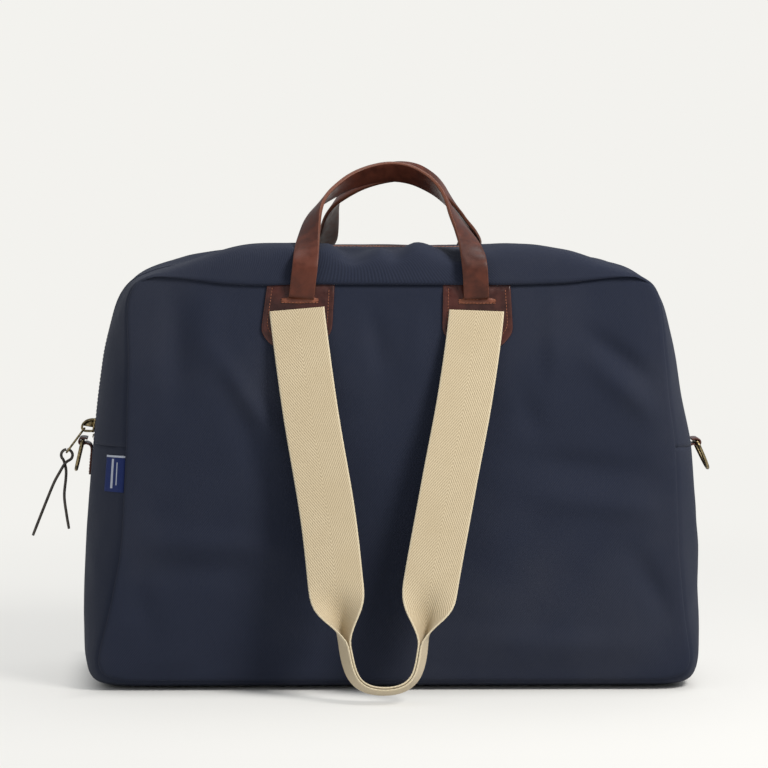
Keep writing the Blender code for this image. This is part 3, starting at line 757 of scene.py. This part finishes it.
def patch(name, end, sign):
    """A leather patch that follows the canvas, with a stitched rim, and a tack over the handle."""
    top_x, low_x = PATCH_MIDDLES[end]
    edge = ((0, 0.0002), (0, PATCH_THICK * 0.55), (0.0002, PATCH_THICK * 0.85), (0.0008, PATCH_THICK))
    rings = [on_skin(patch_line(top_x, low_x, inset), out, sign) for inset, out in edge]
    insets = [*(inset for inset, _ in edge), 0.0025, 0.0045, 0.0065, PATCH_RIM, 0.0135, 0.0175, 0.0215]
    for inset in insets[len(edge):]:
        press = -0.00035 * math.exp(-((inset - 0.0045) / 0.0011) ** 2)
        ring = patch_line(top_x, low_x, min(inset, PATCH_RIM))
        ring = ring.mean(axis=0) + (ring - ring.mean(axis=0)) * (1 - max(inset - PATCH_RIM, 0) / 0.015)
        points = on_skin(ring, PATCH_THICK + press, sign)
        points[:, 1] += sign * rough(points, 0.018, 31, 0.0002)
        rings.append(points)
    rings = np.array(rings)[:, ::-sign]
    around = np.arange(rings.shape[1] + 1) * 0.0018
    uvs = [np.stack([around, np.full(len(around), inset)], axis=1) for inset in insets]
    piece = grid_object(f"leather_patch_{name}", rings, uvs, closed=True, caps=True)
    finish(piece, patch_leather, "patch_leather", f"patch_{name}")

    rim = patch_line(top_x, low_x, 0.0046)
    rim = on_skin(rim[rim[:, 1] < PATCH_TOP - 0.005], PATCH_THICK - 0.0002, sign)
    row = stitch_line(f"patch_stitches_{name}", rim, (0, sign, 0), 0.0027, length=0.002, thick=0.0007)
    finish(row, thread, "patch_leather")

    foot_x = top_x + (low_x - top_x) * 0.25
    line = smooth_curve([(foot_x + x, 0, z) for x, z in ((-0.0165, 0.3438), (-0.0085, 0.3444), (0, 0.3441),
                                                         (0.0085, 0.3446), (0.0165, 0.3444))], 6)
    line[:, 1] = [sign * (skin(x, z, sign) + PATCH_THICK + 0.0001) for x, _, z in line]
    swell = np.sqrt(np.clip(1 - np.linspace(-1, 1, len(line)) ** 6, 0.03, 1)) + rough(line, 0.006, 61, 0.12)
    bar = round_section(TACK_HALF, 14, 0.42)[None] * swell[:, None, None]
    tack = distance_uv(sweep(f"leather_tack_{name}", line, (0, 0, 1), bar), TACK_HALF)
    finish(tack, tack_leather, "patch_leather")
    for number, z in enumerate((0.3425, 0.3456)):
        places = [(foot_x + x, z) for x in np.arange(-0.015, 0.0151, 0.003)]
        spots = on_skin(places, PATCH_THICK + 0.0007, sign)
        along, out = (np.broadcast_to(way, spots.shape) for way in ((1, 0, 0.12), (0, sign, 0)))
        row = stitches(f"tack_stitches_{name}_{number}", spots, along, out, 0.0024)
        finish(row, thread, "patch_leather")


for name, sign in FACES:
    for end, word in enumerate(("left", "right")):
        patch(f"{name}_{word}", end, sign)
    handle(name, sign)


# Middle line of the front's hanging strap, from its left patch to its right one, as (x, z).
WEB_LINE = ((-0.0878, 0.3368), (-0.0868, 0.327), (-0.082, 0.29), (-0.0755, 0.244), (-0.0683, 0.203),
            (-0.0611, 0.161), (-0.0565, 0.122), (-0.053, 0.087), (-0.0478, 0.056), (-0.0432, 0.031),
            (-0.0345, 0.0165), (-0.0185, 0.0112), (0, 0.0125), (0.0115, 0.0195), (0.0178, 0.032),
            (0.0216, 0.056), (0.0255, 0.087), (0.0318, 0.122), (0.0395, 0.161), (0.0475, 0.203),
            (0.0559, 0.244), (0.0635, 0.29), (0.0684, 0.327), (0.069, 0.336))
# How far out it hangs, as (z, y).
WEB_DROP = ((0.0095, -0.163), (0.018, -0.161), (0.045, -0.155), (0.085, -0.144), (0.15, -0.13),
            (0.23, -0.115), (0.3, -0.104), (0.3365, -0.099))
WEB_WIDTH, WEB_THICK = 0.048, 0.0018
WEB_PLACES = np.linspace(-WEB_WIDTH / 2, WEB_WIDTH / 2, 34)


def folded_section(share):
    """Webbing folded lengthwise round a bend in its middle, open towards +out."""
    bend = math.radians(181.8) * share
    core = 0.017 - 0.013 * share
    turned = np.clip(WEB_PLACES / core, -0.5, 0.5) * bend
    step = np.diff(WEB_PLACES)
    middle = (turned[1:] + turned[:-1]) / 2
    across = np.concatenate([[0], np.cumsum(step * np.cos(middle))])
    out = np.concatenate([[0], np.cumsum(step * np.sin(middle))])
    across -= across[-1] / 2
    out -= out.min() + (out.max() - out.min()) * 0.5
    normal = np.stack([-np.sin(turned), np.cos(turned)], axis=1)
    line = np.stack([across, out], axis=1)
    edge = (1 - 0.35 * np.clip(1 - (WEB_WIDTH / 2 - np.abs(WEB_PLACES)) / 0.0012, 0, 1))[:, None]
    half = normal * WEB_THICK / 2 * edge
    return np.vstack([line - half, (line + half)[::-1]])


def strap(name, sign):
    """A hanging webbing strap. Its second UV coordinate is the place across the webbing when flat."""
    path = smooth_curve([(x, 0, z) for x, z in WEB_LINE], 6)
    level = path[:, 2].copy()
    path[:, 1] = np.interp(level, *zip(*WEB_DROP)) * -sign
    for _ in range(10):
        path[1:-1] = (path[:-2] + 2 * path[1:-1] + path[2:]) / 4
    along = tangents(path)
    fold = ease(level, 0.104, 0.046)
    turn = math.radians(19) * ease(level, 0.09, 0.04)
    inner = unit(np.cross(along, (0, 1, 0)))
    opening = np.array((0, sign, 0)) * np.cos(turn)[:, None] + inner * np.sin(turn)[:, None]
    across = unit(np.cross(opening, along))
    piece = sweep(f"webbing_strap_{name}", path, across, [folded_section(share) for share in fold])
    layer = piece.data.uv_layers["UVMap"].data
    far, places = length_along(path), np.concatenate([WEB_PLACES, WEB_PLACES[::-1]])
    for corner in piece.data.loops:
        ring, column = divmod(corner.vertex_index, len(places))
        layer[corner.index].uv = (far[ring], places[column])
    finish(piece, webbing, "beige_webbing", f"strap_{name}", body=f"strap_{name}")


for name, sign in FACES:
    strap(name, sign)


# ---- side fittings


def side_x(z):
    """Half the bag's width at the middle of its depth, near the zip's ends."""
    return float(np.interp(z, [0.1, 0.21, 0.335], [0.2765, 0.2685, 0.2475]))


ACROSS = np.array((0, 1.0, 0))
BAR_Z, BAR_OUT = 0.2125, 0.0093
RING_WIRE, RING_HALF_WIDTH, RING_DROP = 0.0033, 0.0135, 0.027
RING_TILT = {"left": math.radians(12.9), "right": math.radians(25)}
# A tab's middle line, as (out from the bag's side, up from the ring's bar).
TAB_STRIP = ((0.0012, -0.03), (0.0012, -0.014), (0.002, -0.005), (0.0048, -0.0021), (0.008, -0.0027),
             (0.011, -0.0024), (0.0122, 0), (0.011, 0.0024), (0.008, 0.0027), (0.0048, 0.0021))
TAB_WIDTH = 0.022


def side_tab(name, side):
    wall = side_line[side_line[:, 0] * side > 0.2]
    wall = wall[np.argsort(wall[:, 2])]

    def wall_x(z):
        return np.interp(z, wall[:, 2], wall[:, 0])

    route = []
    for out, up in TAB_STRIP:
        z = BAR_Z + up
        x = side * (side_x(z) + 0.0003 + out)
        if up < -0.004:
            x += wall_x(z) - side * side_x(z) - side * 0.0005
        route.append((x, 0, z))
    path = smooth_curve(route, 7)
    section = strip_section(TAB_WIDTH, 0.0016, 0.0005)
    widths = 1 - 0.06 * ease(path[:, 2], 0.19, 0.1825)
    sections = np.stack([section * (w, 1) for w in widths])
    piece = distance_uv(sweep(f"leather_tab_{name}", path, (0, 1, 0), sections), TAB_WIDTH / 2)
    finish(piece, patch_leather, "patch_leather", f"tab_{name}")
    corners = [(-0.0086, -0.012), (-0.0086, -0.0275), (0.0086, -0.0275), (0.0086, -0.012)]
    dense = np.vstack([np.linspace(a, b, 8)[:-1] for a, b in zip(corners, corners[1:] + corners[:1])])
    rim = [(wall_x(BAR_Z + up) + side * 0.0018, y, BAR_Z + up) for y, up in [*dense, dense[0]]]
    row = stitch_line(f"tab_stitches_{name}", rim, (side, 0, 0), 0.0028, length=0.0021)
    finish(row, thread, "patch_leather")


def d_ring(name, side):
    bar = np.array((side * (side_x(BAR_Z) + BAR_OUT), 0, BAR_Z))
    hang = np.array((side * math.sin(RING_TILT[name]), 0, -math.cos(RING_TILT[name])))
    points = [bar + ACROSS * RING_HALF_WIDTH * share for share in np.linspace(0.78, -0.78, 9)]
    for angle in np.linspace(0, math.pi, 41):
        corner = 0.0016 * math.exp(-(min(angle, math.pi - angle) / 0.1) ** 2)
        points.append(bar + hang * (RING_DROP * math.sin(angle) + corner)
                      - ACROSS * ((RING_HALF_WIDTH - corner * 0.4) * math.cos(angle)))
    normal = np.cross(hang, ACROSS)
    piece = sweep(f"brass_ring_{name}", points, normal, round_section(RING_WIRE / 2, 16), closed_path=True)
    finish(piece, brass, "antique_brass", f"d_ring_{name}", body=f"d_ring_{name}")


for name, side in (("left", -1), ("right", 1)):
    side_tab(name, side)
    d_ring(name, side)
    cover(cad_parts[f"zip_stop_{name}"], brass)

# The slider and puller, measured out from the left side and up the zip from its end.
ZIP_LOW, ZIP_UP = np.array((-0.2685, 0, 0.21)), np.array((0.165678, 0, 0.98618))
ZIP_OUT = np.array((-0.98618, 0, 0.165678))


def on_zip(out, y, up):
    return ZIP_LOW + ZIP_OUT * out + ACROSS * y + ZIP_UP * up


def slider_plate(name, out, thick, low, high, narrow, wide):
    """A plate that lies along the zip from low to high, and widens from its lower to its upper end."""
    ups = np.concatenate([[low, low + 0.0004, low + 0.001], np.linspace(low + 0.002, high - 0.002, 7),
                          [high - 0.001, high - 0.0004, high]])
    share = ease(ups, low + 0.002, high - 0.003)
    waist = 1 - 0.1 * np.exp(-((ups - (low + high) / 2) / 0.0022) ** 2)
    ends = np.sqrt(np.clip(1 - (2 * (ups - low) / (high - low) - 1) ** 10, 0.25, 1))
    section = strip_section(1.0, thick / wide, 0.28 * thick / wide)
    sections = [section * ((narrow + (wide - narrow) * s) * w * e, wide * (0.8 + 0.2 * e))
                for s, w, e in zip(share, waist, ends)]
    return sweep(name, [on_zip(out, 0, up) for up in ups], ACROSS, np.array(sections))


# The bail over the slider that the puller hangs in, as (out, up) points of its middle line.
BAIL = ((0.0012, 0.0108), (0.0055, 0.01), (0.0095, 0.0098), (0.0118, 0.012), (0.0114, 0.0155),
        (0.009, 0.0186), (0.0052, 0.0206), (0.0012, 0.0214))
# The solid part under the bail, as (out, up) points; its lower edge leaves room for the puller.
WEB_PLATE = ((0.0012, 0.014), (0.0112, 0.014), (0.0112, 0.0155), (0.009, 0.0186), (0.0054, 0.0206),
             (0.0012, 0.0215))
pieces = [slider_plate("brass_slider", 0.0014, 0.0018, 0.0095, 0.022, 0.0064, 0.0092),
          slider_plate("slider_under", -0.0035, 0.0014, 0.0095, 0.022, 0.0064, 0.009),
          sweep("slider_post", [on_zip(out, 0, 0.0118) for out in (-0.0036, -0.001, 0.0012)], ACROSS,
                strip_section(0.001, 0.0036, 0.0004)),
          sweep("slider_bail", smooth_curve([on_zip(out, 0, up) for out, up in BAIL], 7), ACROSS,
                strip_section(0.004, 0.002, 0.0007)),
          sweep("slider_web", [on_zip(0, y, 0) for y in (-0.0009, 0.0009)], ZIP_OUT, np.array(WEB_PLATE))]
finish(join_all("brass_slider", pieces), brass, "antique_brass", "zip_slider", body="slider")

EYE = np.array((-0.292, 0, 0.2014))  # where the lace goes through the puller
pivot = on_zip(0.0095, 0, 0.0118)
pull, pull_length = unit(EYE - pivot), float(np.linalg.norm(EYE - pivot))
loop = []
for centre, turn, half in ((pull_length - 0.0032, 0, 0.0032), (0.0032, math.pi, 0.0026)):
    for angle in np.linspace(-math.pi / 2, math.pi / 2, 15) + turn:
        loop.append(pivot + pull * (centre + 0.0032 * math.cos(angle)) + ACROSS * (half * math.sin(angle)))
dense = []
for a, b in zip(loop, loop[1:] + loop[:1]):
    steps = max(1, round(float(np.linalg.norm(b - a)) / 0.0015))
    dense += [a + (b - a) * k / steps for k in range(steps)]
piece = sweep("brass_puller", dense, np.cross(pull, ACROSS), round_section(0.0009, 12), closed_path=True)
finish(piece, brass, "antique_brass", "zip_puller", body="puller")


# ---- the lace


def on_loop(degrees):
    """A point of the lace's loop through the puller."""
    angle = math.radians(degrees)
    return (-0.2918 + 0.0051 * math.cos(angle), 0, 0.199 + 0.0051 * math.sin(angle))


LACE = 0.0026
LACE_ROUTES = {
    "long": [*[on_loop(a) for a in (86, 60, 30, 0, -28, -52)],
             (-0.2932, -0.0016, 0.1918), (-0.2985, -0.0018, 0.183), (-0.304, -0.0018, 0.1725),
             (-0.3142, -0.0018, 0.1472), (-0.3223, -0.0018, 0.1264)],
    "short": [*[on_loop(a) for a in (94, 120, 150, 180, 208, 228)],
              (-0.294, 0.0016, 0.1918), (-0.2925, -0.0008, 0.1855), (-0.2925, -0.006, 0.178),
              (-0.2935, -0.0145, 0.1635), (-0.2913, -0.0185, 0.1472), (-0.2891, -0.02, 0.1346)],
}
for name, length in (("long", 0.09), ("short", 0.077)):
    route = smooth_curve(LACE_ROUTES[name], 6)
    curve = bpy.data.curves.new(f"lace_thong_{name}", "CURVE")
    curve.dimensions = "3D"
    curve.bevel_depth = LACE / 2
    curve.bevel_resolution = 5
    curve.use_fill_caps = True
    spline = curve.splines.new("POLY")
    spline.points.add(len(route) - 1)
    for number, (target, point) in enumerate(zip(spline.points, route)):
        target.co = (*point, 1)
        target.radius = 1 - 0.12 * float(ease(number / (len(route) - 1), 0.97, 1.0))
    spline.use_smooth = True
    thong = add(f"lace_thong_{name}", curve)
    finish(thong, lace_leather, "lace_leather", f"lace_{name}", body="lace")


# ---- label and insides

LABEL_LOW, LABEL_HIGH = 0.171, 0.2085
span = np.flatnonzero((middle_half[:, 1] > LABEL_LOW) & (middle_half[:, 1] < LABEL_HIGH) & (knot_at > 4))
depths = np.linspace(-0.0914, -0.0722, 15)
rows = shell_rows(span, -np.ones(len(span)), depths, 11, -0.001)
half_width = (depths[-1] - depths[0]) / 2
tall = rows[..., 2].max() - rows[..., 2].min()
across = np.broadcast_to((depths - depths.mean())[:, None], rows.shape[:2])
upward = np.broadcast_to((rows[..., 2].mean(axis=0) - rows[..., 2].mean()), rows.shape[:2])
label = grid_object("woven_side_label", rows, np.stack([across, upward], axis=-1))
finish(thicken(label, 0.0006), label_material(half_width, tall), "woven_label", "side_label")

LINING_X, LINING_Y, LINING_LOW, LINING_HIGH = 0.231, 0.0882, 0.0112, 0.3248
angles = np.linspace(0, 2 * math.pi, 160, endpoint=False)
square = np.stack([np.sign(turn) * np.abs(turn) ** 0.16 for turn in (np.cos(angles), np.sin(angles))], axis=1)
rings = [np.insert(square * (LINING_X * share, LINING_Y * share), 2, LINING_LOW, axis=1)
         for share in (0.02, 0.3, 0.6, 0.85, 0.97)]
for z in np.linspace(LINING_LOW + 0.003, LINING_HIGH, 30):
    half = np.interp(z, (LINING_LOW, LINING_HIGH), (LINING_X, 0.225))
    ring = np.insert(square * (half, LINING_Y), 2, z, axis=1)
    sag = 0.003 * ease(z, 0.02, 0.06) * (0.5 + 0.5 * rough(ring, 0.05, 41)) * ease(z, LINING_HIGH, 0.3)
    ring[:, :2] *= 1 - np.maximum(sag, 0)[:, None] / LINING_Y * 0.6
    rings.append(ring)
rings = np.array(rings)
upward = wrap(rings)[..., 2]
around = np.broadcast_to(np.arange(upward.shape[1]) * 0.004, upward.shape)
lining = grid_object("cotton_lining_bag", rings, np.stack([around, upward], axis=-1), closed=True)
finish(thicken(lining, 0.0008, 0), lining_cloth, "cotton_lining", "lining")

level, wide = np.meshgrid(np.linspace(0.12, 0.28, 24), np.linspace(-0.11, 0.11, 34), indexing="ij")
belly = np.sin((wide + 0.11) / 0.22 * math.pi) ** 0.6 * ease(level, 0.118, 0.15)
slack = 0.0028 * belly * (1 + 0.4 * rough(np.stack([wide, level, level], -1), 0.05, 51))
rows = np.stack([wide, 0.0862 - slack, level - 0.002 * belly * ease(level, 0.25, 0.28)], axis=-1)
pocket = grid_object("cotton_slip_pocket", rows, rows[..., [0, 2]])
finish(thicken(pocket, 0.001), lining_cloth, "cotton_lining", "inner_pocket")

cover(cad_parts["base_board"], board_felt)


# ---- floor and light

PALE = (0.896, 0.888, 0.856)
FOOTPRINT = (0.25, 0.088)  # half the length and depth of what touches the floor
ring = np.array([(math.cos(a), math.sin(a), 0) for a in np.linspace(0, 2 * math.pi, 97)[:-1]])
rows = np.array([ring * r - (0, 0, 0.0002) for r in (0.02, 0.5, 1, 2, 4, 8, 14)])
floor = grid_object("floor", rows, wrap(rows)[..., :2], closed=True)
ground, shader, place, *_ = start_material(
    "pale_floor", Base_Color=(0.73, 0.726, 0.704, 1), Roughness=0.75, Specular_IOR_Level=0.15)
tree = ground.node_tree
away_from = node(tree, "ShaderNodeVectorMath", {0: place}, operation="LENGTH").outputs["Value"]
glow = node(tree, "ShaderNodeEmission", {"Color": PALE, "Strength": 1.0})
spot = node(tree, "ShaderNodeSeparateXYZ", {0: place})
past_end, past_face = (calc("SUBTRACT", calc("ABSOLUTE", spot.outputs[k]), FOOTPRINT[k]) for k in (0, 1))
beside = calc("MAXIMUM", past_end, past_face)
share = calc("MULTIPLY", ramp(beside, 0, 0.05), ramp(away_from, 0.3, 1.3, 0.62, 1.0))
fade = node(tree, "ShaderNodeMixShader", {0: share, 1: shader.outputs[0], 2: glow.outputs[0]})
tree.links.new(fade.outputs[0], tree.nodes["Material Output"].inputs["Surface"])
floor.data.materials.append(ground)

world = bpy.data.worlds.new("studio")
world.use_nodes = True
scene.world = world
tree = world.node_tree
lit = tree.nodes["Background"]
lit.inputs["Color"].default_value = (0.95, 0.97, 1.0, 1)
lit.inputs["Strength"].default_value = 0.5
seen = node(tree, "ShaderNodeBackground", {"Color": PALE, "Strength": 1.0})
direct = node(tree, "ShaderNodeLightPath").outputs["Is Camera Ray"]
both = node(tree, "ShaderNodeMixShader", {0: direct, 1: lit.outputs[0], 2: seen.outputs[0]})
tree.links.new(both.outputs[0], tree.nodes["World Output"].inputs["Surface"])


def area_light(name, spot, aim, size, power, color):
    light = bpy.data.lights.new(name, "AREA")
    light.shape = "DISK"
    light.size, light.energy, light.color = size, power, color
    made = add(name, light)
    made.location = spot
    made.rotation_euler = (Vector(spot) - Vector(aim)).to_track_quat("Z", "Y").to_euler()


area_light("key", (0.95, -0.95, 1.4), (0, 0, 0.22), 0.6, 31, (1.0, 0.975, 0.94))
area_light("fill", (-2.2, -2.0, 1.3), (0, 0, 0.2), 1.8, 8, (0.94, 0.97, 1.0))
area_light("top", (0.3, 0.6, 2.6), (0, 0, 0.3), 1.6, 22, (1.0, 1.0, 1.0))
